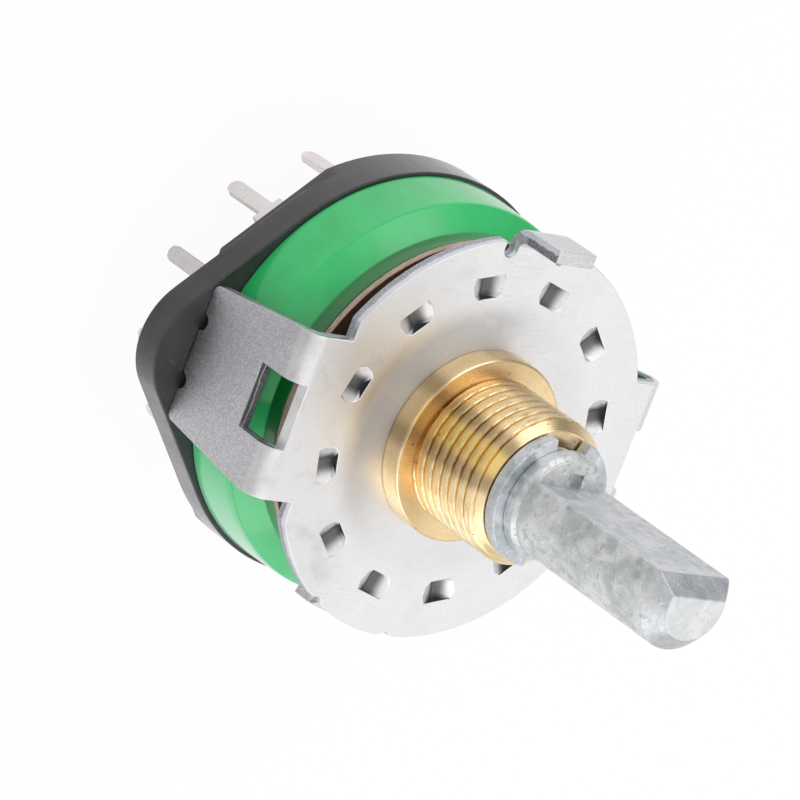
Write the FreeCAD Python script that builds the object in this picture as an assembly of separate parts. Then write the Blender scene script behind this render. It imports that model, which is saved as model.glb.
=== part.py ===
import FreeCAD, Part
import math
import os

# Twelve-position rotary switch for a printed circuit board.
# Millimetres. Origin on the shaft's axis at the front plate's front face.
# +Z runs along the shaft towards its tip, the terminals point down, the legs lie on X, the lug on +Y.

V = FreeCAD.Vector
UP = V(0, 0, 1)

# Indexing
POSITIONS = 12
PITCH = 360.0 / POSITIONS
FIRST_ANGLE = PITCH / 2
TURNS_BACK = 5
TURNS_ON = 6

# Clearances
RUN_FIT = 0.04
SLIP_FIT = 0.03
FREE_GAP = 0.1

# Body, measured at the base's round part
BODY_RADIUS = 13.3

# Front plate, one pressing
SHEET = 0.85
PLATE_INSET = 0.37
POCKET_RADIUS = 1.2
POCKET_OFFSET = 0.2
POCKET_WIDTH = 1.42
POCKET_DEPTH = 0.5
POCKET_FLOOR = 0.36
POCKET_CHORDS = 12
RAMP_START = 0.02
RAMP_TRIM = 0.12

# Legs of the front plate
LEG_OUTREACH = 1.47
LEG_BEND = 1.3
LEG_ROOT_WIDTH = 10.4
LEG_END_WIDTH = 8.56
LEG_TAPER_START = 1.5
LEG_CORNER = 0.5
WINDOW_WIDTH = 4.1
WINDOW_INSET = 1.1
WINDOW_DEPTH = 3.25
LEG_NICK_WIDTH = 1.7
LEG_NICK_DEPTH = 1.7
TAB_WIDTH = 2.8
TAB_RELIEF = 0.5
TAB_FOLD = 1.3

# Locating lug, bent forward
LUG_OUTREACH = 0.72
LUG_WIDTH = 3.1
LUG_HEIGHT = 3.3
LUG_BEND = 0.5
LUG_CORNER = 0.25
LUG_SLOT_WIDTH = 1.0
LUG_SLOT_DEPTH = 1.25

# Rear tab, bent back
REAR_TAB_ANGLE = -106.0
REAR_TAB_WIDTH = 5.45
REAR_TAB_LENGTH = 2.5
REAR_TAB_BEND = 1.2
REAR_SLOT_WIDTH = 1.1
REAR_SLOT_DEPTH = 0.65

# Bushing, 3/8 inch 32 thread
THREAD_RADIUS = 4.7625
BUSH_LENGTH = 7.585
BUSH_FLANGE_RADIUS = 5.96
BUSH_FLANGE_HEIGHT = 1.456
BUSH_FLANGE_BEVEL = 0.2
THREAD_BEVEL = 0.6
NECK_RADIUS = 4.4
STAKE_SPREAD = 0.5
STAKE_HEIGHT = 0.4

# Shaft, 1/4 inch, one die casting
SHAFT_RADIUS = 3.175
SHAFT_TIP = 22.4
TIP_BEVEL = 1.05
FLAT_OFFSET = 1.587
FLAT_START = 9.6
PIT_LENGTH = 0.85
PIT_HEIGHT = 0.7
PIT_DEPTH = 0.5
PIT_OFFSET = 0.35
BEAD_RISE = 0.275
BEAD_HEIGHT = 0.66
BEAD_RUNOUT = 0.35
SHAFT_SQUARE = 4.4
SQUARE_CORNER_RADIUS = 3.1
PIVOT_RADIUS = 2.1
PIVOT_SINK = 1.2

# Thrust collar, split, in the shaft's front groove
COLLAR_WIDTH = 1.37
COLLAR_HEIGHT = 0.86
COLLAR_GROOVE_DEPTH = 0.425
COLLAR_GAP_ANGLE = 88.0
COLLAR_GAP_SPREAD = 38.0
COLLAR_NOTCH_ANGLE = -80.0
COLLAR_NOTCH_WIDTH = 1.6
COLLAR_NOTCH_WALL = 0.57

# Detent stack behind the plate
DISC_INSET = 1.23
BALL_INSET = 1.7
BALL_RADIUS = 0.95
HUB_RADIUS = 4.6
HUB_HEIGHT = 1.35
DISC_THICKNESS = 0.4
SPRING_THICKNESS = 0.15
SPRING_EYE_RADIUS = 4.2
SPRING_ARM_WIDTH = 3.2
SPRING_ARM_END = 0.7
SPRING_SLOPE = 4.6
SPRING_SETTLE = 0.8

# Housing, one moulding
HOUSING_INSET = 0.2
HOUSING_DRAFT = 0.18
HOUSING_WALL = 1.5
HOUSING_LENGTH = 6.15
HOUSING_RIM_INSET = 0.15
HOUSING_RIM_HEIGHT = 1.17
HOUSING_SLOPE_HEIGHT = 1.28
HOUSING_RIM_GAP = 0.2
HOUSING_RIM_WALL = 0.5
HOUSING_RECESS_GAP = 0.37
HOUSING_ROOF = 1.05
CAVITY_STEP = 1.2
CAVITY_STEP_HEIGHT = 1.6
ROOF_HOLE_GAP = 0.2

# End stops between the rotor's lug and the housing's rib
STOP_INSET = 1.4
STOP_WIDTH = 1.6
STOP_DEPTH = 0.5
STOP_CLEARANCE = 0.5
LUG_AT = -90.0

# Contact rotor, wiper and rear clip
ROTOR_INSET = 2.4
ROTOR_THICKNESS = 1.8
ROTOR_HUB_RADIUS = 3.4
WIPER_THICKNESS = 0.2
WIPER_EYE_RADIUS = 3.7
WIPER_WIDTH = 2.2
WIPER_SLOPE = 3.45
WIPER_SHORT_SLOPE = 1.6
WIPER_TIP_LIFT = 0.25
WIPER_TIP_LENGTH = 0.5
WIPER_REST_ANGLE = FIRST_ANGLE + 3 * PITCH
CLIP_WIDTH = 1.22
CLIP_THICKNESS = 0.35
CLIP_GROOVE_DEPTH = 0.45
CLIP_SPREAD = 50.0

# Base, one moulded wafer
BASE_THICKNESS = 3.0
EAR_THICKNESS = 2.05
EAR_MARGIN = 2.45
EAR_NOSE_RADIUS = 4.4
EAR_FLANK_RISE = 0.1
THICK_MARGIN = 1.1
FLANK_INSET = 0.55
SPIGOT_HEIGHT = 0.5
SPIGOT_GAP = 0.1
BORE_EXTRA = 0.2

# Terminals, flat blades
TERMINAL_INSET = 1.15
BLADE_THICKNESS = 0.45
BLADE_ROOT_WIDTH = 2.1
BLADE_TIP_WIDTH = 1.05
BLADE_SHOULDER_DROP = 3.0
BLADE_LENGTH = 3.77
NOSE_CHORDS = 4
PAD_WIDTH = 1.7
PAD_HEIGHT = 0.35
COMMON_CIRCLE = 4.8
COMMON_RING_WIDTH = 1.6
COMMON_ANGLE = WIPER_REST_ANGLE + 180.0

# Radii that follow from the sizes above
PLATE_RADIUS = BODY_RADIUS - PLATE_INSET
LEG_REACH = PLATE_RADIUS + LEG_OUTREACH
WINDOW_ROOT = LEG_REACH - WINDOW_INSET
LEG_NICK_FLOOR = PLATE_RADIUS - LEG_NICK_DEPTH
LUG_REACH = PLATE_RADIUS + LUG_OUTREACH
LUG_SLOT_FLOOR = PLATE_RADIUS - LUG_SLOT_DEPTH
REAR_TAB_REACH = PLATE_RADIUS
REAR_SLOT_FLOOR = PLATE_RADIUS - REAR_SLOT_DEPTH
DISC_RADIUS = PLATE_RADIUS - DISC_INSET
POCKET_CIRCLE = DISC_RADIUS - BALL_INSET
HOUSING_REAR_RADIUS = BODY_RADIUS - HOUSING_INSET
HOUSING_EDGE_RADIUS = HOUSING_REAR_RADIUS - HOUSING_DRAFT
HOUSING_RIM_RADIUS = DISC_RADIUS - HOUSING_RIM_INSET
CAVITY_RADIUS = HOUSING_REAR_RADIUS - HOUSING_WALL
ROTOR_RADIUS = CAVITY_RADIUS - ROTOR_INSET
STOP_OUTER = ROTOR_RADIUS - STOP_INSET
STOP_INNER = STOP_OUTER - STOP_WIDTH
TERMINAL_CIRCLE = CAVITY_RADIUS - TERMINAL_INSET
EAR_REACH = LEG_REACH + EAR_MARGIN
EAR_FLANK = BODY_RADIUS + EAR_FLANK_RISE
THICK_HALF_WIDTH = LEG_REACH - SHEET - THICK_MARGIN
STAKE_RADIUS = NECK_RADIUS + STAKE_SPREAD
BORE_RADIUS = SHAFT_RADIUS + RUN_FIT
BEAD_RADIUS = SHAFT_RADIUS + BEAD_RISE
SQUARE_HOLE = SHAFT_SQUARE + 2 * SLIP_FIT
COLLAR_GROOVE_RADIUS = SHAFT_RADIUS - COLLAR_GROOVE_DEPTH
COLLAR_INNER = COLLAR_GROOVE_RADIUS + SLIP_FIT
CLIP_GROOVE_RADIUS = PIVOT_RADIUS - CLIP_GROOVE_DEPTH
CLIP_INNER = CLIP_GROOVE_RADIUS + SLIP_FIT
STOP_SPREAD = (PITCH - 2 * STOP_CLEARANCE) / 2
RIB_AT = LUG_AT + TURNS_ON * PITCH + PITCH / 2

# Heights that follow from the sizes above
PLATE_BACK = -SHEET
STAKE_BACK = PLATE_BACK - STAKE_HEIGHT
HUB_TOP = STAKE_BACK - FREE_GAP / 2
HUB_BACK = HUB_TOP - HUB_HEIGHT
DISC_BACK = HUB_BACK - DISC_THICKNESS
SPRING_BACK = DISC_BACK - SPRING_THICKNESS
BALL_TOP = PLATE_BACK - POCKET_DEPTH - FREE_GAP
BALL_CENTRE = BALL_TOP - BALL_RADIUS
BALL_BOTTOM = BALL_CENTRE - BALL_RADIUS
RIM_TOP = DISC_BACK - HOUSING_RIM_GAP
HOUSING_SHOULDER_Z = RIM_TOP - HOUSING_RIM_HEIGHT
HOUSING_EDGE_Z = HOUSING_SHOULDER_Z - HOUSING_SLOPE_HEIGHT
BASE_FRONT_Z = RIM_TOP - HOUSING_LENGTH
RECESS_FLOOR = BALL_BOTTOM - SPRING_THICKNESS - HOUSING_RECESS_GAP
CAVITY_ROOF = RECESS_FLOOR - HOUSING_ROOF
ROTOR_TOP = CAVITY_ROOF - STOP_DEPTH - FREE_GAP
ROTOR_BACK = ROTOR_TOP - ROTOR_THICKNESS
WIPER_BACK = ROTOR_BACK - WIPER_THICKNESS
SPIGOT_TOP = BASE_FRONT_Z + SPIGOT_HEIGHT
PAD_TOP = SPIGOT_TOP + PAD_HEIGHT
BASE_BACK = BASE_FRONT_Z - BASE_THICKNESS
EAR_BACK = BASE_FRONT_Z - EAR_THICKNESS
PIVOT_END = BASE_FRONT_Z - PIVOT_SINK
SHOULDER_Z = BASE_BACK - BLADE_SHOULDER_DROP
TERMINAL_TIP = SHOULDER_Z - BLADE_LENGTH
COLLAR_BACK = BUSH_LENGTH + FREE_GAP
COLLAR_FRONT = COLLAR_BACK + COLLAR_HEIGHT
BEAD_TOP = COLLAR_FRONT + BEAD_HEIGHT
FAR = 40.0


def outline(points):
    """Closed wire in the XY plane. Each point is (x, y) or (x, y, corner radius)."""
    corners = []
    count = len(points)
    for i, point in enumerate(points):
        here = V(point[0], point[1], 0)
        radius = point[2] if len(point) > 2 else 0
        if radius <= 0:
            corners.append((here, here, here))
            continue
        before = V(points[i - 1][0], points[i - 1][1], 0) - here
        after = V(points[(i + 1) % count][0], points[(i + 1) % count][1], 0) - here
        before.normalize()
        after.normalize()
        half = before.getAngle(after) / 2
        run = radius / math.tan(half)
        bisector = before + after
        bisector.normalize()
        middle = here + bisector * (radius / math.sin(half) - radius)
        corners.append((here + before * run, middle, here + after * run))
    edges = []
    for i, (start, middle, end) in enumerate(corners):
        if not start.isEqual(end, 1e-7):
            edges.append(Part.Arc(start, middle, end).toShape())
        next_start = corners[(i + 1) % count][0]
        if not end.isEqual(next_start, 1e-7):
            edges.append(Part.LineSegment(end, next_start).toShape())
    return Part.Wire(edges)


def plate_of(points, low, high):
    """Outline in XY, extruded along Z from low to high."""
    face = Part.Face(outline(points))
    face.translate(V(0, 0, low))
    return face.extrude(V(0, 0, high - low))


def side_profile(points, half_width):
    """Outline given as (x, z), extruded along Y by half_width each way."""
    face = Part.Face(outline(points))
    face.rotate(V(0, 0, 0), V(1, 0, 0), 90)
    face.translate(V(0, half_width, 0))
    return face.extrude(V(0, -2 * half_width, 0))


def front_profile(points, near, far):
    """Outline given as (y, z), extruded along X from near to far."""
    face = Part.Face(outline(points))
    face.rotate(V(0, 0, 0), V(1, 0, 0), 90)
    face.rotate(V(0, 0, 0), UP, 90)
    face.translate(V(near, 0, 0))
    return face.extrude(V(far - near, 0, 0))


def turned(points):
    """Outline given as (radius, z), revolved about Z."""
    face = Part.Face(outline(points))
    face.rotate(V(0, 0, 0), V(1, 0, 0), 90)
    return face.revolve(V(0, 0, 0), UP, 360)


def cylinder(radius, low, high, x=0.0, y=0.0):
    return Part.makeCylinder(radius, high - low, V(x, y, low))


def block(x0, x1, y0, y1, low, high):
    return Part.makeBox(x1 - x0, y1 - y0, high - low, V(x0, y0, low))


def square_hole(low, high):
    half = SQUARE_HOLE / 2
    return block(-half, half, -half, half, low, high)


def spun(shape, angle):
    copy = shape.copy()
    copy.rotate(V(0, 0, 0), UP, angle)
    return copy


def sector(inner, outer, centre, spread, low, high):
    """Part of a ring between two radii, spread degrees wide about centre."""
    face = Part.Face(outline([(inner, low), (outer, low), (outer, high), (inner, high)]))
    face.rotate(V(0, 0, 0), V(1, 0, 0), 90)
    return spun(face.revolve(V(0, 0, 0), UP, spread), centre - spread / 2)


def save(name, shape):
    clean = shape.removeSplitter()
    if clean.ShapeType == "Compound" and len(clean.Solids) == 1:
        clean = clean.Solids[0]
    clean.exportStep("parts/" + name + ".step")
    print(name, "solids", len(clean.Solids), "valid", clean.isValid(), "volume", round(clean.Volume, 3))


# Front plate

def pocket_tools():
    """Opening and strap of one lanced detent pocket, on +X. Its round ends are short chords."""
    half = POCKET_WIDTH / 2
    slab = block(POCKET_CIRCLE - half, POCKET_CIRCLE + half, -FAR, FAR, -FAR, FAR)
    centre = POCKET_CIRCLE + POCKET_OFFSET
    turns = [2 * math.pi * k / POCKET_CHORDS for k in range(POCKET_CHORDS)]
    ring = [(centre + POCKET_RADIUS * math.cos(t), POCKET_RADIUS * math.sin(t)) for t in turns]
    room = plate_of(ring, -FAR, FAR).common(slab)
    opening = room.common(block(-FAR, FAR, -FAR, FAR, PLATE_BACK - 1, 1))
    floor = POCKET_FLOOR / 2
    low = -POCKET_DEPTH
    rise = (POCKET_DEPTH - RAMP_START) / (POCKET_RADIUS - floor)
    end = POCKET_RADIUS + RAMP_TRIM
    top = rise * RAMP_TRIM - RAMP_START
    band = front_profile([
        (-end, top), (-floor, low), (floor, low), (end, top), (end, top - SHEET),
        (floor, low - SHEET), (-floor, low - SHEET), (-end, top - SHEET)], 0, FAR)
    return opening, band.common(room)


def leg():
    """One leg on +X: bend, taper, window, shoulder reliefs and the folded tab."""
    inner = LEG_REACH - SHEET
    root = LEG_REACH - LEG_BEND
    strip = side_profile([
        (POCKET_CIRCLE, 0), (LEG_REACH, 0, LEG_BEND), (LEG_REACH, EAR_BACK),
        (LEG_REACH + TAB_FOLD, EAR_BACK), (LEG_REACH + TAB_FOLD, EAR_BACK - SHEET),
        (inner, EAR_BACK - SHEET, SHEET * 0.98), (inner, PLATE_BACK, LEG_BEND - SHEET),
        (POCKET_CIRCLE, PLATE_BACK)], LEG_ROOT_WIDTH / 2)
    wide = LEG_ROOT_WIDTH / 2
    narrow = LEG_END_WIDTH / 2
    tab = TAB_WIDTH / 2
    shape = front_profile([
        (-wide, 1), (-wide, -LEG_TAPER_START), (-narrow, BASE_FRONT_Z, LEG_CORNER),
        (-tab, BASE_FRONT_Z), (-tab, -FAR), (tab, -FAR), (tab, BASE_FRONT_Z),
        (narrow, BASE_FRONT_Z, LEG_CORNER), (wide, -LEG_TAPER_START), (wide, 1)], 0, FAR)
    strip = strip.common(shape)
    half = WINDOW_WIDTH / 2
    window = front_profile([
        (-half, 1), (-half, -WINDOW_DEPTH), (half, -WINDOW_DEPTH), (half, 1)], WINDOW_ROOT, FAR)
    strip = strip.cut(window)
    for side in (-1, 1):
        relief = Part.makeCylinder(
            TAB_RELIEF, FAR, V(root, side * (tab + TAB_RELIEF), BASE_FRONT_Z), V(1, 0, 0))
        strip = strip.cut(relief)
    return strip


def leg_nick(side):
    """Clear the plate's edge beside a leg's root, on +X, towards +Y or -Y."""
    near = side * LEG_ROOT_WIDTH / 2
    far = near + side * LEG_NICK_WIDTH
    return block(LEG_NICK_FLOOR, FAR, min(near, far), max(near, far), PLATE_BACK - 1, 1)


def lug():
    """Locating lug bent forward, made on +X."""
    bend = LUG_BEND + SHEET
    strip = side_profile([
        (POCKET_CIRCLE, 0), (LUG_REACH - SHEET, 0, LUG_BEND), (LUG_REACH - SHEET, LUG_HEIGHT),
        (LUG_REACH, LUG_HEIGHT), (LUG_REACH, PLATE_BACK, bend), (POCKET_CIRCLE, PLATE_BACK)],
        LUG_WIDTH / 2)
    half = LUG_WIDTH / 2
    ends = front_profile([
        (-half, -FAR), (half, -FAR), (half, LUG_HEIGHT, LUG_CORNER),
        (-half, LUG_HEIGHT, LUG_CORNER)], 0, FAR)
    return strip.common(ends)


def bend_slots(half_width, slot_width, floor):
    """Round-bottomed slots on both sides of a bent strip, on +X."""
    slots = []
    radius = slot_width / 2
    for side in (-1, 1):
        y = side * (half_width + radius)
        slots.append(cylinder(radius, PLATE_BACK - 1, 1, floor + radius, y))
        slots.append(block(floor + radius, FAR, y - radius, y + radius, PLATE_BACK - 1, 1))
    return slots


def rear_tab():
    """Tab bent back from the plate's rim, made on +X."""
    inner = REAR_TAB_REACH - SHEET
    return side_profile([
        (POCKET_CIRCLE, 0), (REAR_TAB_REACH, 0, REAR_TAB_BEND),
        (REAR_TAB_REACH, -REAR_TAB_LENGTH), (inner, -REAR_TAB_LENGTH),
        (inner, PLATE_BACK, REAR_TAB_BEND - SHEET), (POCKET_CIRCLE, PLATE_BACK)],
        REAR_TAB_WIDTH / 2)


def front_plate():
    plate = cylinder(PLATE_RADIUS, PLATE_BACK, 0)
    for angle, side in ((0, -1), (180, -1), (180, 1)):
        plate = plate.cut(spun(leg_nick(side), angle))
    for slot in bend_slots(LUG_WIDTH / 2, LUG_SLOT_WIDTH, LUG_SLOT_FLOOR):
        plate = plate.cut(spun(slot, 90))
    for slot in bend_slots(REAR_TAB_WIDTH / 2, REAR_SLOT_WIDTH, REAR_SLOT_FLOOR):
        plate = plate.cut(spun(slot, REAR_TAB_ANGLE))
    for angle in (0, 180):
        plate = plate.fuse(spun(leg(), angle))
    plate = plate.fuse(spun(lug(), 90))
    plate = plate.fuse(spun(rear_tab(), REAR_TAB_ANGLE))
    opening, strap = pocket_tools()
    for k in range(POSITIONS):
        angle = FIRST_ANGLE + k * PITCH
        plate = plate.cut(spun(opening, angle))
        plate = plate.fuse(spun(strap, angle))
    return plate.cut(cylinder(NECK_RADIUS + SLIP_FIT / 3, PLATE_BACK - 1, 1))


# Bushing and shaft

def bushing():
    return turned([
        (BORE_RADIUS, STAKE_BACK), (STAKE_RADIUS, STAKE_BACK), (STAKE_RADIUS, PLATE_BACK),
        (NECK_RADIUS, PLATE_BACK), (NECK_RADIUS, 0), (BUSH_FLANGE_RADIUS, 0),
        (BUSH_FLANGE_RADIUS, BUSH_FLANGE_HEIGHT - BUSH_FLANGE_BEVEL),
        (BUSH_FLANGE_RADIUS - BUSH_FLANGE_BEVEL, BUSH_FLANGE_HEIGHT),
        (THREAD_RADIUS, BUSH_FLANGE_HEIGHT), (THREAD_RADIUS, BUSH_LENGTH - THREAD_BEVEL),
        (THREAD_RADIUS - THREAD_BEVEL, BUSH_LENGTH), (BORE_RADIUS, BUSH_LENGTH)])


def shaft_round():
    """Round stretches in front of the square, with the collar's groove and the bead."""
    return turned([
        (0, HUB_TOP), (SHAFT_RADIUS, HUB_TOP), (SHAFT_RADIUS, COLLAR_BACK),
        (COLLAR_GROOVE_RADIUS, COLLAR_BACK), (COLLAR_GROOVE_RADIUS, COLLAR_FRONT),
        (BEAD_RADIUS, COLLAR_FRONT), (BEAD_RADIUS, BEAD_TOP), (SHAFT_RADIUS, BEAD_TOP + BEAD_RUNOUT),
        (SHAFT_RADIUS, SHAFT_TIP - TIP_BEVEL), (SHAFT_RADIUS - TIP_BEVEL, SHAFT_TIP), (0, SHAFT_TIP)])


def shaft_rear():
    """Square that drives the stack, and the pivot that runs in the base."""
    half = SHAFT_SQUARE / 2
    square = block(-half, half, -half, half, WIPER_BACK, HUB_TOP)
    square = square.common(cylinder(SQUARE_CORNER_RADIUS, WIPER_BACK, HUB_TOP))
    groove_back = WIPER_BACK - CLIP_THICKNESS
    pivot = turned([
        (0, PIVOT_END), (PIVOT_RADIUS, PIVOT_END), (PIVOT_RADIUS, groove_back),
        (CLIP_GROOVE_RADIUS, groove_back), (CLIP_GROOVE_RADIUS, WIPER_BACK), (0, WIPER_BACK)])
    return square.fuse(pivot)


def shaft():
    body = shaft_round().fuse(shaft_rear())
    bevel_start = SHAFT_TIP - TIP_BEVEL
    flat = front_profile([
        (FLAT_OFFSET, FLAT_START), (FAR, FLAT_START), (FAR, FAR), (FLAT_OFFSET - TIP_BEVEL, FAR),
        (FLAT_OFFSET - TIP_BEVEL, SHAFT_TIP), (FLAT_OFFSET, bevel_start)], -FAR, FAR)
    body = body.cut(flat)
    pit = block(
        PIT_OFFSET - PIT_LENGTH / 2, PIT_OFFSET + PIT_LENGTH / 2,
        FLAT_OFFSET, FLAT_OFFSET + PIT_HEIGHT, FLAT_START - PIT_DEPTH, FLAT_START)
    return body.cut(pit)


def split_ring(inner, outer, low, high, gap_angle, gap_spread):
    ring = turned([(inner, low), (outer, low), (outer, high), (inner, high)])
    return ring.cut(sector(0, FAR, gap_angle, gap_spread, low - 1, high + 1))


def thrust_collar():
    ring = split_ring(
        COLLAR_INNER, COLLAR_INNER + COLLAR_WIDTH, COLLAR_BACK, COLLAR_FRONT,
        COLLAR_GAP_ANGLE, COLLAR_GAP_SPREAD)
    half = COLLAR_NOTCH_WIDTH / 2
    floor = COLLAR_INNER + COLLAR_NOTCH_WALL
    notch = block(floor, FAR, -half, half, COLLAR_BACK - 1, COLLAR_FRONT + 1)
    return ring.cut(spun(notch, COLLAR_NOTCH_ANGLE))


# Detent stack

def index_hub():
    hub = turned([(0, HUB_BACK), (HUB_RADIUS, HUB_BACK), (HUB_RADIUS, HUB_TOP), (0, HUB_TOP)])
    return hub.cut(square_hole(HUB_BACK - 1, HUB_TOP + 1))


def detent_disc():
    disc = cylinder(DISC_RADIUS, DISC_BACK, HUB_BACK)
    for side in (-1, 1):
        disc = disc.cut(cylinder(BALL_RADIUS + SLIP_FIT, DISC_BACK - 1, HUB_BACK + 1, side * POCKET_CIRCLE))
    return disc.cut(square_hole(DISC_BACK - 1, HUB_BACK + 1))


def detent_spring():
    """Leaf with an eye on the square and two arms set back under the balls."""
    reach = POCKET_CIRCLE + SPRING_ARM_END
    seat = POCKET_CIRCLE - SPRING_SETTLE
    flat = POCKET_CIRCLE - SPRING_SLOPE
    under = SPRING_THICKNESS
    arms = side_profile([
        (-reach, BALL_BOTTOM), (-seat, BALL_BOTTOM), (-flat, DISC_BACK),
        (flat, DISC_BACK), (seat, BALL_BOTTOM), (reach, BALL_BOTTOM),
        (reach, BALL_BOTTOM - under), (seat, BALL_BOTTOM - under), (flat, SPRING_BACK),
        (-flat, SPRING_BACK), (-seat, BALL_BOTTOM - under), (-reach, BALL_BOTTOM - under)],
        SPRING_ARM_WIDTH / 2)
    eye = cylinder(SPRING_EYE_RADIUS, SPRING_BACK, DISC_BACK)
    return arms.fuse(eye).cut(square_hole(SPRING_BACK - 1, DISC_BACK + 1))


def detent_ball(side):
    return Part.makeSphere(BALL_RADIUS, V(side * POCKET_CIRCLE, 0, BALL_CENTRE))


# Housing

def housing():
    rim_inner = HOUSING_RIM_RADIUS - HOUSING_RIM_WALL
    shell = turned([
        (ROTOR_HUB_RADIUS + ROOF_HOLE_GAP, CAVITY_ROOF), (CAVITY_RADIUS - CAVITY_STEP, CAVITY_ROOF),
        (CAVITY_RADIUS - CAVITY_STEP, CAVITY_ROOF - CAVITY_STEP_HEIGHT),
        (CAVITY_RADIUS, CAVITY_ROOF - CAVITY_STEP_HEIGHT), (CAVITY_RADIUS, BASE_FRONT_Z),
        (HOUSING_REAR_RADIUS, BASE_FRONT_Z), (HOUSING_EDGE_RADIUS, HOUSING_EDGE_Z),
        (HOUSING_RIM_RADIUS, HOUSING_SHOULDER_Z), (HOUSING_RIM_RADIUS, RIM_TOP),
        (rim_inner, RIM_TOP), (rim_inner, RECESS_FLOOR),
        (ROTOR_HUB_RADIUS + ROOF_HOLE_GAP, RECESS_FLOOR)])
    rib = sector(STOP_INNER, STOP_OUTER, RIB_AT, STOP_SPREAD, CAVITY_ROOF - STOP_DEPTH, CAVITY_ROOF)
    return shell.fuse(rib)


# Contact section

def contact_rotor():
    disc = turned([
        (0, ROTOR_BACK), (ROTOR_RADIUS, ROTOR_BACK), (ROTOR_RADIUS, ROTOR_TOP),
        (ROTOR_HUB_RADIUS, ROTOR_TOP), (ROTOR_HUB_RADIUS, SPRING_BACK), (0, SPRING_BACK)])
    top = CAVITY_ROOF - FREE_GAP
    disc = disc.fuse(sector(STOP_INNER, STOP_OUTER, LUG_AT, STOP_SPREAD, ROTOR_TOP, top))
    return disc.cut(square_hole(ROTOR_BACK - 1, SPRING_BACK + 1))


def wiper_arm(bend, touch):
    """Arm on +X from the eye, set down to a contact at radius touch."""
    low = PAD_TOP + SLIP_FIT
    tip = touch + WIPER_TIP_LENGTH
    thick = WIPER_THICKNESS
    return side_profile([
        (SHAFT_SQUARE / 2 + SLIP_FIT, ROTOR_BACK), (bend, ROTOR_BACK), (touch, low + thick),
        (tip, low + thick + WIPER_TIP_LIFT), (tip, low + WIPER_TIP_LIFT), (touch, low),
        (bend, WIPER_BACK), (SHAFT_SQUARE / 2 + SLIP_FIT, WIPER_BACK)], WIPER_WIDTH / 2)


def wiper():
    eye = cylinder(WIPER_EYE_RADIUS, WIPER_BACK, ROTOR_BACK)
    eye = eye.cut(square_hole(WIPER_BACK - 1, ROTOR_BACK + 1))
    long_arm = spun(wiper_arm(TERMINAL_CIRCLE - WIPER_SLOPE, TERMINAL_CIRCLE), WIPER_REST_ANGLE)
    short_arm = spun(wiper_arm(COMMON_CIRCLE - WIPER_SHORT_SLOPE, COMMON_CIRCLE), COMMON_ANGLE)
    blade = eye.fuse(long_arm).fuse(short_arm)
    return blade.cut(square_hole(WIPER_BACK - 1, ROTOR_BACK + 1))


def rear_clip():
    return split_ring(
        CLIP_INNER, CLIP_INNER + CLIP_WIDTH, WIPER_BACK - CLIP_THICKNESS, WIPER_BACK,
        WIPER_REST_ANGLE, CLIP_SPREAD)


# Base and terminals

def ear_tilt():
    """Direction in which a flank of an ear faces, in radians from X."""
    return math.acos((EAR_FLANK - EAR_NOSE_RADIUS) / (EAR_REACH - EAR_NOSE_RADIUS))


def ear_plate(low, high):
    """Wafer with a broad crown on each side and a rounded ear at each end of X."""
    tilt = ear_tilt()
    end = EAR_FLANK / math.cos(tilt)
    side = EAR_FLANK / math.sin(tilt)
    crown = (side - BODY_RADIUS) / (1 / math.sin(tilt) - 1)
    return plate_of([
        (end, 0, EAR_NOSE_RADIUS), (0, side, crown),
        (-end, 0, EAR_NOSE_RADIUS), (0, -side, crown)], low, high)


def tab_slot():
    """Slot in an ear for a leg's tab, on +X."""
    half = TAB_WIDTH / 2 + SLIP_FIT
    return block(
        LEG_REACH - SHEET - SLIP_FIT, LEG_REACH + SLIP_FIT, -half, half, EAR_BACK - 1, SPIGOT_TOP + 1)


def blade_slot(circle):
    half = BLADE_ROOT_WIDTH / 2 + SLIP_FIT
    thick = BLADE_THICKNESS / 2 + SLIP_FIT
    return block(circle - thick, circle + thick, -half, half, BASE_BACK - 1, SPIGOT_TOP + 1)


def base():
    wafer = ear_plate(EAR_BACK, BASE_FRONT_Z)
    thick = ear_plate(BASE_BACK, EAR_BACK)
    thick = thick.common(block(-THICK_HALF_WIDTH, THICK_HALF_WIDTH, -FAR, FAR, BASE_BACK, EAR_BACK))
    beyond = block(EAR_FLANK - FLANK_INSET, FAR, -FAR, FAR, BASE_BACK - 1, EAR_BACK)
    tilt = math.degrees(ear_tilt())
    for angle in (tilt, 180 - tilt, 180 + tilt, -tilt):
        thick = thick.cut(spun(beyond, angle))
    wafer = wafer.fuse(thick).fuse(cylinder(CAVITY_RADIUS - SPIGOT_GAP, BASE_FRONT_Z, SPIGOT_TOP))
    wafer = wafer.cut(cylinder(PIVOT_RADIUS + RUN_FIT, PIVOT_END - BORE_EXTRA, SPIGOT_TOP + 1))
    for angle in (0, 180):
        wafer = wafer.cut(spun(tab_slot(), angle))
    for k in range(POSITIONS):
        wafer = wafer.cut(spun(blade_slot(TERMINAL_CIRCLE), FIRST_ANGLE + k * PITCH))
    return wafer.cut(spun(blade_slot(COMMON_CIRCLE), COMMON_ANGLE))


def blade(circle):
    """Flat blade on +X, wide through the base, stepped to a round-nosed tip."""
    root = BLADE_ROOT_WIDTH / 2
    tip = BLADE_TIP_WIDTH / 2
    turns = [math.pi * k / NOSE_CHORDS for k in range(NOSE_CHORDS + 1)]
    nose = [(-tip * math.cos(t), TERMINAL_TIP + tip - tip * math.sin(t)) for t in turns]
    return front_profile(
        [(-root, SPIGOT_TOP), (-root, SHOULDER_Z), (-tip, SHOULDER_Z)] + nose
        + [(tip, SHOULDER_Z), (root, SHOULDER_Z), (root, SPIGOT_TOP)],
        circle - BLADE_THICKNESS / 2, circle + BLADE_THICKNESS / 2)


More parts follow.
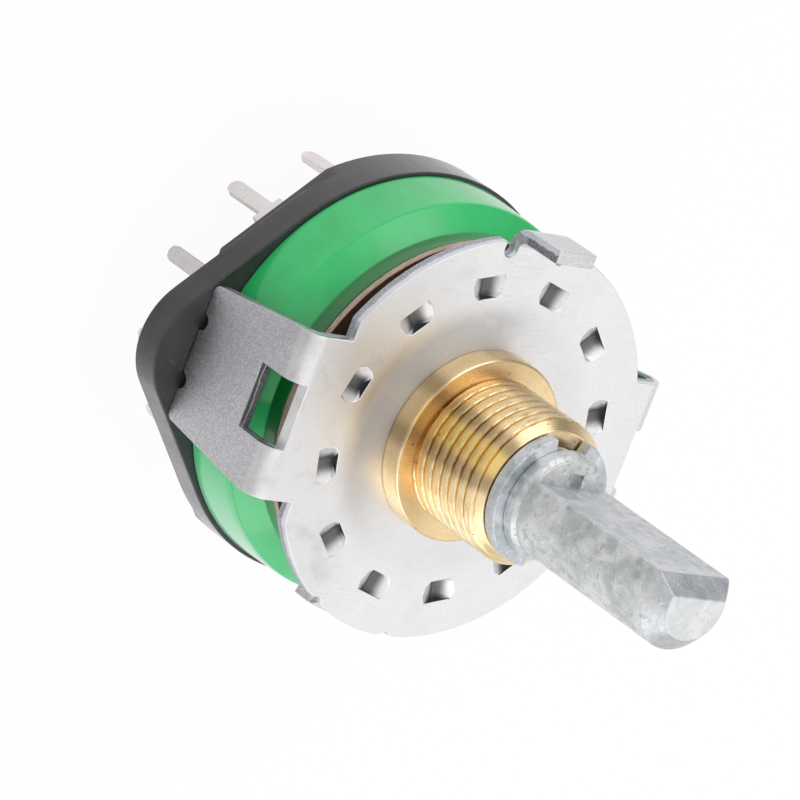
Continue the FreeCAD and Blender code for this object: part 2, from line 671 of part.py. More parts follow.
def terminal(angle):
    half = PAD_WIDTH / 2
    root = BLADE_ROOT_WIDTH / 2
    pad = block(TERMINAL_CIRCLE - half, TERMINAL_CIRCLE + half, -root, root, SPIGOT_TOP, PAD_TOP)
    return spun(pad.fuse(blade(TERMINAL_CIRCLE)), angle)


def common_terminal():
    half = COMMON_RING_WIDTH / 2
    ring = turned([
        (COMMON_CIRCLE - half, SPIGOT_TOP), (COMMON_CIRCLE + half, SPIGOT_TOP),
        (COMMON_CIRCLE + half, PAD_TOP), (COMMON_CIRCLE - half, PAD_TOP)])
    return ring.fuse(spun(blade(COMMON_CIRCLE), COMMON_ANGLE))


def build():
    os.makedirs("parts", exist_ok=True)
    save("front_plate", front_plate())
    save("bushing", bushing())
    save("shaft", shaft())
    save("thrust_collar", thrust_collar())
    save("index_hub", index_hub())
    save("detent_disc", detent_disc())
    save("detent_spring", detent_spring())
    save("detent_ball_1", detent_ball(1))
    save("detent_ball_2", detent_ball(-1))
    save("housing", housing())
    save("contact_rotor", contact_rotor())
    save("wiper", wiper())
    save("rear_clip", rear_clip())
    save("base", base())
    for k in range(POSITIONS):
        save("terminal_%02d" % (k + 1), terminal(FIRST_ANGLE + k * PITCH))
    save("common_terminal", common_terminal())


build()
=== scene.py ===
import bpy
import bmesh
import math
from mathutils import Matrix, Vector


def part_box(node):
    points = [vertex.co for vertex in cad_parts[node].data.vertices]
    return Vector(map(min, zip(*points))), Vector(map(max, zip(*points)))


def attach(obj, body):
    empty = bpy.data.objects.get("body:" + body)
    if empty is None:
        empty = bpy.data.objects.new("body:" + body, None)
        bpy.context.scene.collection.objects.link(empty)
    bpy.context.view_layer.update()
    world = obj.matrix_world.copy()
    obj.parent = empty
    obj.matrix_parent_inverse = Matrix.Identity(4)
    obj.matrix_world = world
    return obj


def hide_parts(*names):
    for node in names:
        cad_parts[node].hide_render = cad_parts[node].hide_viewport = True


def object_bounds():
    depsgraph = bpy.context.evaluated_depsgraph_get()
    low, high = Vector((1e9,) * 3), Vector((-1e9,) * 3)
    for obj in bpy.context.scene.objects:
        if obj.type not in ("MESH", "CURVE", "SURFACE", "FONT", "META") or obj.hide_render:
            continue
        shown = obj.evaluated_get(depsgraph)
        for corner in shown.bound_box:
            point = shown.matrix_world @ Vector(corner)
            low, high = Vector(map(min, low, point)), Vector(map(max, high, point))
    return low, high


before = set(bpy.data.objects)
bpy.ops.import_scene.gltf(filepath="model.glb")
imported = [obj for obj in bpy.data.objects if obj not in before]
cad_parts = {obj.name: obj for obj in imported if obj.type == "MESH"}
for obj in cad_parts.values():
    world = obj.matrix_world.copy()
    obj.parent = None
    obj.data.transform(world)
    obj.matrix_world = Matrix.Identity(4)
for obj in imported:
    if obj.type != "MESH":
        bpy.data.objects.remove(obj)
cad_box = [list(corner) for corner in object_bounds()]

MM = 0.001
scene = bpy.context.scene
scene.view_settings.view_transform = "Standard"

# Sizes that the dressed pieces share with the frame, in millimetres
SHEET = 0.85
LEG_REACH = 14.4
LEG_BEND = 1.3
LUG_REACH = 13.65
TAB_TOP = -9.0
POCKET_FIELD = 11.5
THREAD_RADIUS = 4.7625
THREAD_BEVEL = 0.6
BUSH_LENGTH = 7.585
BORE_RADIUS = 3.215
NECK_RADIUS = 4.4
STAKE_RADIUS = 4.9
STAKE_BACK = -1.25
FLANGE_RADIUS = 5.96
FLANGE_HEIGHT = 1.456
FLANGE_BEVEL = 0.2
SHAFT_RADIUS = 3.175
SHAFT_TIP = 22.4
TIP_BEVEL = 1.05
FLAT_OFFSET = 1.587
FLAT_START = 9.6
BEAD_RUNOUT_END = 9.555
DISC_RADIUS = 11.7
HOUSING_SHOULDER = -4.42
BASE_FRONT = -9.4
TERMINALS = 12

# Thread of the bushing, right-hand, 32 turns per inch, in millimetres, shares of the pitch and degrees
THREAD_PITCH = 0.79375
THREAD_START = 1.93
THREAD_HEADING = 167.0
CREST_DROP = 0.035
ROOT_DEPTH = 0.30
ROOT_HALF_WIDTH = 0.16
ROOT_FLOOR = 0.02
THREAD_ROWS = 230
THREAD_SIDES = 216
THREAD_CREASE = 38.0

# Rounding of edges, with angles in degrees and distances in metres
EDGE_STEPS = 2
EDGE_CREASE = 28.0
FLAT_ANGLE = 0.4
MERGE = 1e-6
SLIVER = 1e-7

# Mends before the rounding, in millimetres
FOLD_STEP = 0.3
FOLD_SLACK = 0.005
FOLD_ASIDE = 0.003
FOLD_LEVEL = 0.002
RUNOUT_SLACK = 0.003
RUNOUT_EASED = 9.47

# Camera, in metres, degrees and millimetres of lens
CAMERA_PLACE = (-0.24052777, 0.08910891, 0.24575152)
CAMERA_TURN = (-30.689579, -35.403477, 25.312818)
CAMERA_LENS = 270.0
CAMERA_SENSOR = 36.0

# Lamps, floor and sky, in metres and watts
KEY_PLACE = (0.06, 0.20, 0.22)
SIDE_PLACE = (-0.03, -0.24, 0.17)
LAMP_SIZE = 0.24
LAMP_POWER = 0.15
FLOOR_HALF = 3.0
FLOOR_GAP = 0.00001
FLOOR_TONE = (0.72, 0.72, 0.72)
FLOOR_LEVEL = 1.03
FLOOR_SEEN = 0.92
FLOOR_MIRRORED = 0.7
WHITE = (1.0, 1.0, 1.0)
SOFT_LEVEL = 0.95
LOW_LEVEL = 0.55

# Dim headings: centre, half width and soft edge in degrees, and depth
FLOOR_DIM = (165.0, 10.0, 35.0, 0.32)
SKY_DIMS = (
    (160.0, 25.0, 25.0, 0.12),
    (128.0, 8.0, 14.0, 0.3),
    (192.0, 8.0, 14.0, 0.3),
    (35.0, 16.0, 16.0, 0.5))


# Shader helpers

class Nodes:
    """The nodes of a material or a world, and short ways to add to them."""

    def __init__(self, owner):
        owner.use_nodes = True
        self.tree = owner.node_tree
        self.tree.nodes.clear()

    def add(self, kind, inputs=None, **props):
        node = self.tree.nodes.new("ShaderNode" + kind)
        for key, value in props.items():
            setattr(node, key, value)
        for key, value in (inputs or {}).items():
            self.put(node.inputs[key], value)
        return node

    def put(self, socket, value):
        if isinstance(value, bpy.types.NodeSocket):
            self.tree.links.new(value, socket)
        elif isinstance(value, tuple) and len(value) == 3 and socket.type == "RGBA":
            socket.default_value = (*value, 1.0)
        else:
            socket.default_value = value

    def math(self, kind, a, b=0.0, c=0.0):
        return self.add("Math", {0: a, 1: b, 2: c}, operation=kind).outputs[0]

    def times(self, *factors):
        """Product of masks and numbers."""
        total = factors[0]
        for factor in factors[1:]:
            total = self.math("MULTIPLY", total, factor)
        return total

    def weigh(self, *pairs):
        """Sum of values, each times its weight."""
        total = self.times(*pairs[0])
        for pair in pairs[1:]:
            total = self.math("ADD", total, self.times(*pair))
        return total

    def most(self, a, b):
        return self.math("MAXIMUM", a, b)

    def span(self, value, low, high, to_low=0.0, to_high=1.0):
        """Smooth change from to_low to to_high while value goes from low to high."""
        return self.add("MapRange", {
            "Value": value, "From Min": low, "From Max": high, "To Min": to_low, "To Max": to_high},
            interpolation_type="SMOOTHSTEP", clamp=True).outputs[0]

    def above(self, value, low, high):
        """0 up to low, 1 from high on."""
        return self.span(value, low, high)

    def below(self, value, low, high):
        """1 up to low, 0 from high on."""
        return self.span(value, low, high, 1.0, 0.0)

    def near(self, value, centre, half, soft):
        """1 where value is within half of centre, falling to 0 over soft."""
        gap = self.math("ABSOLUTE", self.math("SUBTRACT", value, centre))
        return self.below(gap, half, half + soft)

    def turn(self, x, y):
        """Heading of a point round the axis, in degrees."""
        return self.math("DEGREES", self.math("ARCTAN2", y, x))

    def away(self, turn, heading):
        """Degrees between a turn and a heading, from 0 to 180."""
        return self.math("PINGPONG", self.math("SUBTRACT", turn, heading), 180.0)

    def dim(self, turn, heading, half, soft, depth):
        """1, falling to 1 - depth within half degrees of a heading."""
        return self.span(self.away(turn, heading), half, half + soft, 1.0 - depth, 1.0)


class Finish(Nodes):
    """Material of a piece: a surface shader and the nodes that feed it. Places are in millimetres."""

    def __init__(self, name, color, metallic, rough, **sockets):
        self.mat = bpy.data.materials.new(name)
        super().__init__(self.mat)
        self.mat.diffuse_color = (*color, 1.0)
        self.surface = self.add("BsdfPrincipled", {
            "Base Color": color, "Metallic": metallic, "Roughness": rough})
        for key, value in sockets.items():
            self.put(self.surface.inputs[key.replace("_", " ")], value)
        self.add("OutputMaterial", {0: self.surface.outputs[0]})
        place = self.add("TexCoord").outputs["Object"]
        self.mm = self.add("VectorMath", {0: place, "Scale": 1.0 / MM}, operation="SCALE").outputs[0]
        self.x, self.y, self.z = self.add("SeparateXYZ", {0: self.mm}).outputs

    def noise(self, scale, detail=3.0, rough=0.5, where=None, stretch=None, distort=0.0):
        spot = where or self.mm
        if stretch:
            spot = self.add("VectorMath", {0: spot, 1: stretch}, operation="MULTIPLY").outputs[0]
        return self.add("TexNoise", {
            "Vector": spot, "Scale": scale, "Detail": detail, "Roughness": rough,
            "Distortion": distort}).outputs["Fac"]

    def cells(self, scale):
        """Distance to the nearest of many scattered points."""
        return self.add("TexVoronoi", {"Vector": self.mm, "Scale": scale}).outputs["Distance"]

    def radius(self):
        """Distance from the axis."""
        return self.math("SQRT", self.weigh((self.x, self.x), (self.y, self.y)))

    def mix(self, factor, a, b):
        node = self.add("Mix", data_type="RGBA")
        for socket, value in ((0, factor), (6, a), (7, b)):
            self.put(node.inputs[socket], value)
        return node.outputs[2]

    def fade(self, value, low, high, first, second):
        """Colour that goes from first to second while value goes from low to high."""
        return self.mix(self.span(value, low, high), first, second)

    def over(self, tone, color, *masks):
        """Tone with a colour laid over it where every mask is up."""
        return self.mix(self.times(*masks), tone, color)

    def color(self, socket):
        self.put(self.surface.inputs["Base Color"], socket)

    def rough(self, socket):
        self.put(self.surface.inputs["Roughness"], socket)

    def bump(self, height, distance):
        """Relief in the surface's normal. The distance is in metres."""
        relief = self.add("Bump", {"Height": height, "Distance": distance})
        self.put(self.surface.inputs["Normal"], relief.outputs[0])


# Camera, floor and light

def make_camera():
    data = bpy.data.cameras.new("camera")
    data.lens = CAMERA_LENS
    data.sensor_width = CAMERA_SENSOR
    data.clip_start = 0.01
    data.clip_end = 20.0
    eye = bpy.data.objects.new("camera", data)
    eye.location = CAMERA_PLACE
    eye.rotation_euler = [math.radians(turn) for turn in CAMERA_TURN]
    scene.collection.objects.link(eye)
    scene.camera = eye


def make_floor():
    """Wide pale floor with a faint shadow. It meets the white round it and is dimmer in one heading."""
    mesh = bpy.data.meshes.new("floor")
    half = FLOOR_HALF
    corners = [(-half, -half, 0), (half, -half, 0), (half, half, 0), (-half, half, 0)]
    mesh.from_pydata(corners, [], [(0, 1, 2, 3)])
    floor = bpy.data.objects.new("floor", mesh)
    floor.location = (0, 0, cad_box[0][2] - FLOOR_GAP)
    scene.collection.objects.link(floor)
    mat = bpy.data.materials.new("floor_pale")
    g = Nodes(mat)
    x, y, z = g.add("SeparateXYZ", {0: g.add("TexCoord").outputs["Object"]}).outputs
    path = g.add("LightPath").outputs
    level = g.times(g.most(g.dim(g.turn(x, y), *FLOOR_DIM), path["Is Camera Ray"]), FLOOR_LEVEL)
    share = g.math(
        "MULTIPLY_ADD", path["Is Glossy Ray"], FLOOR_MIRRORED, g.times(path["Is Camera Ray"], FLOOR_SEEN))
    matt = g.add("BsdfDiffuse", {"Color": FLOOR_TONE})
    white = g.add("Emission", {"Color": WHITE, "Strength": level})
    surface = g.add("MixShader", {0: share, 1: matt.outputs[0], 2: white.outputs[0]})
    g.add("OutputMaterial", {0: surface.outputs[0]})
    mesh.materials.append(mat)


def make_world():
    """White studio, white to the camera, dimmer low down and in a few broad headings."""
    world = bpy.data.worlds.new("studio")
    scene.world = world
    g = Nodes(world)
    x, y, z = g.add("SeparateXYZ", {0: g.add("TexCoord").outputs["Generated"]}).outputs
    turn = g.turn(x, y)
    rise = g.span(z, 0.0, 0.7, LOW_LEVEL, 1.0)
    headings = g.times(*[g.dim(turn, *band) for band in SKY_DIMS])
    path = g.add("LightPath").outputs
    mirrored = g.most(path["Is Glossy Ray"], path["Is Transmission Ray"])
    level = g.math("MULTIPLY_ADD", mirrored, 1.0 - SOFT_LEVEL, SOFT_LEVEL)
    level = g.most(g.times(level, rise, headings), path["Is Camera Ray"])
    sky = g.add("Background", {"Color": WHITE, "Strength": level})
    g.add("OutputWorld", {0: sky.outputs[0]})


def lamp(name, place):
    """Soft round lamp that looks at the origin."""
    data = bpy.data.lights.new(name, "AREA")
    data.shape = "DISK"
    data.size = LAMP_SIZE
    data.energy = LAMP_POWER
    light = bpy.data.objects.new(name, data)
    light.location = place
    light.rotation_euler = (-Vector(place)).to_track_quat("-Z", "Y").to_euler()
    scene.collection.objects.link(light)


# Materials

def plated_sheet():
    """Bright plated steel of the front plate's faces, finely speckled.

    It is grainier on the legs; painted shade darkens the legs, greys it towards -X and round the flange, and
    darkens the pockets.
    """
    g = Finish("plate_face", (0.86, 0.86, 0.86), 1.0, 0.36)
    grain = g.noise(9.0, 4.0, 0.65)
    fine = g.noise(26.0, 2.0, 0.6)
    cloud = g.noise(0.35, 3.0, 0.55)
    r = g.radius()
    bent = g.most(g.below(g.z, -LEG_BEND, -0.6), g.span(g.z, 0.2, 0.6, 0.0, 0.5))
    # Mask of the painted shade towards -X.
    left_shade = g.below(g.x, -9.0, -3.0)
    # Ring round the flange where shade is painted; its part towards heading 140 is also rougher.
    flange_shade = g.times(g.near(r, 6.8, 0.9, 2.0), g.span(g.noise(0.6, 2.0), 0.1, 0.5, 0.5, 1.0))
    flange_left_shade = g.times(flange_shade, g.below(g.away(g.turn(g.x, g.y), 140.0), 40.0, 85.0))
    middle = g.below(r, POCKET_FIELD, POCKET_FIELD + 0.1)
    # Pocket floors, where shade is painted, darker the deeper they lie.
    pocket_shade = g.times(g.below(g.z, -0.44, -0.10), g.above(g.z, -1.1, -1.0), middle)

    # On the legs both ends of the speckle are darker: painted shade.
    dark = g.mix(bent, (0.86, 0.86, 0.87), (0.45, 0.44, 0.47))
    light = g.mix(bent, (0.98, 0.98, 0.99), (0.80, 0.79, 0.83))
    metal = g.fade(g.weigh((grain, 0.6), (fine, 0.4)), 0.40, 0.62, dark, light)
    # Painted shade: greyer towards -X.
    metal = g.over(metal, (0.56, 0.54, 0.55), left_shade, 0.22)
    # Random pale-brown stains together with painted shade round the flange, stronger towards -X and kept off
    # the legs.
    stain_and_shade = g.most(flange_shade, g.span(cloud, 0.52, 0.74, 0.0, 0.5))
    stain_and_shade = g.times(stain_and_shade, g.math("SUBTRACT", 1.0, bent), g.math("MULTIPLY_ADD", left_shade, 0.62, 0.12))
    metal = g.over(metal, (0.50, 0.46, 0.42), stain_and_shade)
    # More painted shade beside the flange towards heading 140.
    metal = g.over(metal, (0.50, 0.49, 0.50), flange_left_shade, 0.35)
    # Painted shade in the pockets.
    g.color(g.over(metal, (0.12, 0.12, 0.125), pocket_shade, 0.9))

    dull = g.span(g.weigh((cloud, 0.5), (grain, 0.5)), 0.3, 0.7, 0.29, 0.46)
    dull = g.most(dull, g.times(g.below(g.z, -0.06, -0.02), middle, 0.5))
    g.rough(g.most(dull, g.times(flange_left_shade, 0.66)))
    coarse = g.math("ADD", g.times(bent, 0.9), 0.2)
    scratch = g.above(g.noise(1.2, 2.0, 0.5, stretch=(0.6, 14.0, 1.0), distort=0.4), 0.62, 0.66)
    g.bump(g.weigh((grain, coarse), (fine, 0.25), (scratch, -0.12)), 0.00003)
    return g.mat


def sheared_edge():
    """Cut edge of the sheet: bright where it was sheared, grey and gritty where it broke.

    The break is darker on the legs and the lug, and the pockets' cut edges are nearly black with painted
    shade.
    """
    g = Finish("plate_edge", (0.62, 0.62, 0.67), 1.0, 0.45)
    depth = g.add("Attribute", attribute_name="through", attribute_type="GEOMETRY").outputs["Fac"]
    wobble = g.math("MULTIPLY_ADD", g.noise(1.6, 2.0), 0.3, -0.15)
    broken = g.above(g.math("ADD", depth, wobble), 0.38, 0.52)
    grit = g.noise(14.0, 3.0, 0.7)
    bent = g.most(g.below(g.z, -1.2, -0.9), g.above(g.z, 0.3, 0.6))
    pocket = g.below(g.radius(), POCKET_FIELD, POCKET_FIELD + 0.1)
    dark_break = g.fade(grit, 0.35, 0.65, (0.15, 0.14, 0.15), (0.46, 0.45, 0.48))
    pale_break = g.fade(grit, 0.35, 0.65, (0.36, 0.36, 0.40), (0.72, 0.72, 0.78))
    shiny = g.mix(g.noise(2.0, 3.0, 0.6), (0.64, 0.64, 0.70), (0.86, 0.86, 0.91))
    tone = g.mix(broken, shiny, g.mix(bent, pale_break, dark_break))
    # Painted shade on the pockets' cut edges.
    g.color(g.over(tone, (0.10, 0.10, 0.105), pocket, 0.9))
    g.rough(g.span(broken, 0.0, 1.0, 0.32, 0.62))
    g.bump(g.times(grit, g.math("ADD", g.times(broken, 0.9), 0.1)), 0.00006)
    return g.mat


def turned_brass():
    """Satin turned brass, fine rings, darker roots; a golden band of painted reflection, brown bands of
    painted shade.
    """
    g = Finish("brass", (0.99, 0.79, 0.48), 1.0, 0.3)
    r = g.radius()
    turn = g.turn(g.x, g.y)
    fine = g.noise(16.0, 2.0, 0.6, where=g.add("CombineXYZ", {0: r, 1: g.z}).outputs[0])
    cloud = g.noise(0.7, 3.0, 0.6)
    front = g.away(turn, 160.0)
    threaded = g.times(g.above(g.z, 1.9, 2.1), g.below(g.z, 6.85, 6.95))
    root = g.times(g.below(r, 4.50, 4.68), g.above(r, 4.2, 4.3))
    # Painted reflection: a golden band on the thread round heading 160.
    golden = g.times(g.below(front, 7.0, 20.0), g.above(g.z, 1.0, 1.6))
    # Painted shade: brown bands beside it and round heading 94.
    brown = g.most(g.near(front, 17.0, 2.0, 9.0), g.times(g.near(g.away(turn, 94.0), 0.0, 5.0, 9.0), 0.6))
    # Painted shade on the flange's face towards heading 160.
    face = g.times(g.near(g.z, FLANGE_HEIGHT, 0.02, 0.02), g.below(front, 65.0, 115.0))
    neck = g.times(g.above(g.z, 1.46, 1.48), g.below(g.z, 1.9, 2.2))

    tone = g.fade(cloud, 0.35, 0.7, (0.99, 0.79, 0.48), (0.9405, 0.7268, 0.4128))
    tone = g.over(tone, (1.0, 0.74, 0.28), golden)
    tone = g.over(tone, (0.44, 0.32, 0.18), brown, 0.75)
    tone = g.over(tone, (0.64, 0.46, 0.26), face, 0.85)
    tone = g.over(tone, (0.90, 0.72, 0.46), neck, 0.6)
    tone = g.over(tone, (0.84, 0.55, 0.23), g.above(fine, 0.35, 0.65), 0.22)
    tone = g.over(tone, (0.40, 0.25, 0.12), root, threaded, 0.45)
    g.color(g.over(tone, (0.10, 0.06, 0.03), g.below(g.cells(0.8), 0.04, 0.07), 0.8))
    g.rough(g.span(g.weigh((cloud, 0.6), (fine, 0.4)), 0.3, 0.7, 0.20, 0.32))
    g.bump(g.weigh((fine, 1.0), (g.noise(1.5, 2.0), 0.6)), 0.000012)
    return g.mat


def cast_zinc(name, tint):
    """Grey die casting: mottled skin, small dents, ripples.

    Painted shade darkens the shaft's flat and the bevels at its tip, and a painted highlight lightens its
    end face.
    """
    def shade(red, green, blue):
        return (red * tint[0], green * tint[1], blue * tint[2])

    g = Finish(name, shade(0.70, 0.73, 0.74), 0.85, 0.42)
    cloud = g.noise(0.55, 4.0, 0.6, distort=0.6)
    patch = g.noise(1.7, 3.0, 0.6, distort=0.3)
    fine = g.noise(12.0, 3.0, 0.6)
    bevel_foot = SHAFT_TIP - TIP_BEVEL
    # Masks where shade is painted: the flat and the two bevels at the tip.
    flat = g.times(
        g.above(g.y, FLAT_OFFSET - 0.087, FLAT_OFFSET - 0.017),
        g.above(g.z, FLAT_START + 0.1, FLAT_START + 0.3))
    flat_bevel_shade = g.times(
        g.near(g.math("ADD", g.y, g.z), FLAT_OFFSET + bevel_foot, 0.04, 0.04), g.above(g.y, 0.50, 0.60))
    round_bevel_shade = g.times(
        g.near(g.math("ADD", g.radius(), g.z), SHAFT_RADIUS + bevel_foot, 0.04, 0.04),
        g.above(g.z, bevel_foot + 0.05, bevel_foot + 0.11))

    tone = g.fade(cloud, 0.36, 0.66, shade(0.58, 0.61, 0.61), shade(0.88, 0.88, 0.89))
    tone = g.over(tone, shade(0.94, 0.96, 0.97), g.span(patch, 0.55, 0.70, 0.0, 0.6))
    tone = g.over(tone, shade(0.46, 0.50, 0.48), g.span(patch, 0.34, 0.46, 0.7, 0.0))
    tone = g.over(tone, shade(0.36, 0.38, 0.38), g.above(fine, 0.45, 0.65), 0.3)
    # Painted shade on the flat and on the tip's bevels.
    tone = g.over(tone, shade(0.56, 0.56, 0.62), flat, 0.3)
    tone = g.over(tone, shade(0.48, 0.49, 0.55), flat_bevel_shade, 0.6)
    tone = g.over(tone, shade(0.56, 0.57, 0.60), round_bevel_shade, 0.5)
    # Painted highlight on the end face.
    end_face_highlight = g.span(g.z, SHAFT_TIP - 0.04, SHAFT_TIP - 0.01, 0.0, 0.5)
    g.color(g.over(tone, shade(0.97, 0.98, 1.0), end_face_highlight))
    g.rough(g.span(g.weigh((cloud, 0.6), (fine, 0.4)), 0.3, 0.7, 0.32, 0.55))
    dents = g.span(g.cells(1.3), 0.0, 0.28, -0.9, 0.0)
    ripple = g.noise(1.1, 2.0, 0.5, stretch=(0.7, 0.7, 2.2), distort=1.2)
    g.bump(g.weigh((patch, 0.5), (fine, 0.22), (dents, g.above(cloud, 0.5, 0.6)), (ripple, 0.5)), 0.00006)
    return g.mat


def green_moulding():
    """Glossy green plastic, faint flow, fine scuffs; painted reflection pale towards -Y, painted shadow on
    its front rim.
    """
    g = Finish("green_moulding", (0.020, 0.52, 0.13), 0.0, 0.2, Coat_Weight=0.5, Coat_Roughness=0.10)
    cloud = g.noise(0.3, 3.0, 0.5)
    fine = g.noise(7.0, 3.0, 0.6)
    scuff = g.noise(1.0, 3.0, 0.6, stretch=(5.0, 5.0, 0.5))
    # Where a pale reflection is painted: towards -Y, most towards the back.
    low = g.times(g.below(g.y, -11.0, -3.0), g.span(g.z, -6.5, -6.0, 0.85, 0.3))
    # Front rim, where the plate's shadow is painted.
    rim = g.above(g.z, HOUSING_SHOULDER - 0.08, HOUSING_SHOULDER + 0.12)
    tone = g.fade(cloud, 0.3, 0.7, (0.026, 0.62, 0.165), (0.044, 0.74, 0.22))
    # Painted pale reflection towards -Y, then painted shadow on the front rim.
    tone = g.over(tone, (0.32, 0.88, 0.52), low)
    g.color(g.over(tone, (0.008, 0.22, 0.04), rim))
    g.rough(g.span(g.weigh((cloud, 0.5), (scuff, 0.5)), 0.35, 0.7, 0.13, 0.28))
    g.bump(g.weigh((fine, 0.15), (g.noise(0.9, 2.0), 1.0)), 0.00001)
    return g.mat


def black_moulding(name, gloss, **sockets):
    """Black plastic with pale scuffs and a painted purple-grey sheen behind its front face, most so towards
    -Y.
    """
    g = Finish(name, (0.04, 0.038, 0.042), 0.0, 0.5, Specular_IOR_Level=gloss, **sockets)
    cloud = g.noise(0.4, 4.0, 0.6)
    fine = g.noise(9.0, 3.0, 0.7)
    streak = g.noise(1.5, 4.0, 0.7, stretch=(1.0, 1.0, 0.25), distort=0.5)
    # Sides behind the front face, where a pale sheen is painted, strongest towards -Y.
    side = g.below(g.z, BASE_FRONT - 0.22, BASE_FRONT - 0.06)
    painted_sheen = g.span(g.y, -9.0, 1.0, 0.95, 0.04)
    tone = g.fade(cloud, 0.3, 0.7, (0.024, 0.023, 0.026), (0.045, 0.041, 0.046))
    sheen_tone = g.fade(cloud, 0.35, 0.65, (0.12, 0.105, 0.12), (0.26, 0.23, 0.26))
    # Painted sheen on the sides.
    tone = g.over(tone, sheen_tone, side, painted_sheen)
    g.color(g.over(tone, (0.24, 0.23, 0.24), g.span(streak, 0.60, 0.80, 0.0, 0.35)))
    g.rough(g.span(g.weigh((cloud, 0.4), (streak, 0.6)), 0.35, 0.7, 0.38, 0.58))
    g.bump(g.weigh((fine, 0.5), (g.noise(1.6, 3.0), 1.0)), 0.00003)
    return g.mat


def laminate():
    """Pressed paper laminate: brown faces, paler layered rim."""
    g = Finish("laminate", (0.12, 0.05, 0.025), 0.0, 0.55)
    fibre = g.noise(3.0, 4.0, 0.7, stretch=(1.0, 6.0, 1.0))
    layers = g.noise(14.0, 2.0, 0.5, stretch=(0.15, 0.15, 1.4))
    face = g.fade(fibre, 0.35, 0.65, (0.085, 0.035, 0.020), (0.16, 0.075, 0.042))
    rim = g.fade(layers, 0.4, 0.6, (0.55, 0.37, 0.29), (0.74, 0.54, 0.45))
    g.color(g.fade(g.radius(), DISC_RADIUS - 0.10, DISC_RADIUS - 0.04, face, rim))
    g.rough(g.span(fibre, 0.3, 0.7, 0.45, 0.65))
    g.bump(fibre, 0.00003)
    return g.mat


def tinned():
    """Tinned brass blade, slightly pink grey, dull with bright patches."""
    g = Finish("tinned", (0.66, 0.61, 0.60), 0.9, 0.4)
    cloud = g.noise(0.9, 4.0, 0.6)
    fine = g.noise(10.0, 3.0, 0.6, stretch=(1.0, 1.0, 0.3))
    tone = g.fade(cloud, 0.35, 0.68, (0.93, 0.88, 0.87), (1.0, 0.96, 0.95))
    g.color(g.over(tone, (0.55, 0.49, 0.48), g.span(fine, 0.55, 0.75, 0.0, 0.4)))
    g.rough(g.span(cloud, 0.3, 0.7, 0.30, 0.52))
    g.bump(g.weigh((cloud, 1.0), (fine, 0.4)), 0.00004)
    return g.mat


def plain_metal(name, base, rough):
    """Spring steel and small fittings inside the switch, lightly brushed."""
    g = Finish(name, base, 1.0, rough)
    brushed = g.noise(6.0, 3.0, 0.6, stretch=(0.3, 3.0, 1.0))
    g.color(g.fade(brushed, 0.3, 0.7, tuple(part * 0.72 for part in base), base))
    g.rough(g.span(brushed, 0.3, 0.7, rough * 0.75, rough * 1.3))
    g.bump(brushed, 0.00001)
    return g.mat


def plain_moulding(name, base):
    """Natural plastic of the pieces inside the switch."""
    g = Finish(name, base, 0.0, 0.42)
    cloud = g.noise(0.6, 4.0, 0.6)
    fine = g.noise(9.0, 2.0, 0.6)
    g.color(g.fade(cloud, 0.3, 0.7, tuple(part * 0.88 for part in base), base))
    g.rough(g.span(fine, 0.3, 0.7, 0.36, 0.5))
    g.bump(fine, 0.00001)
    return g.mat


# Mesh helpers

def smooth_mesh(work, name):
    """Smooth-shaded mesh of a working mesh, which is freed."""
    mesh = bpy.data.meshes.new(name)
    work.to_mesh(mesh)
    work.free()
    mesh.polygons.foreach_set("use_smooth", [True] * len(mesh.polygons))
    return mesh


def new_object(name, mesh, mats, body):
    piece = bpy.data.objects.new(name, mesh)
    for mat in mats:
        mesh.materials.append(mat)
    scene.collection.objects.link(piece)
    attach(piece, body)
    return piece


def number_patches(work, creased):
    """Give the faces between creased edges a number of their own, from 1."""
    patch = work.faces.layers.int.new("patch")
    wall = set(creased)
    count = 0
    for seed in work.faces:
        if seed[patch]:
            continue
        count += 1
        seed[patch] = count
        queue = [seed]
        while queue:
            for edge in queue.pop().edges:
                if edge in wall:
                    continue
                for face in edge.link_faces:
                    if not face[patch]:
                        face[patch] = count
                        queue.append(face)
    return patch


def patch_normals(work, patch):
    """Normal of each corner: flat up to a rounded edge, turning only across it."""
    normals = []
    for face in work.faces:
        mine = face[patch]
        for corner in face.loops:
            sums = {}
            for other in corner.vert.link_loops:
                number = other.face[patch]
                sums.setdefault(number, Vector())
                sums[number] += other.face.normal * other.calc_angle()
            total = sums[mine]
            if mine == 0:
                sides = [side.normalized() for number, side in sums.items() if number]
                total = sum(sides, Vector()) if sides else total
            normals.append(total.normalized() if total.length > 1e-9 else face.normal.copy())
    return normals


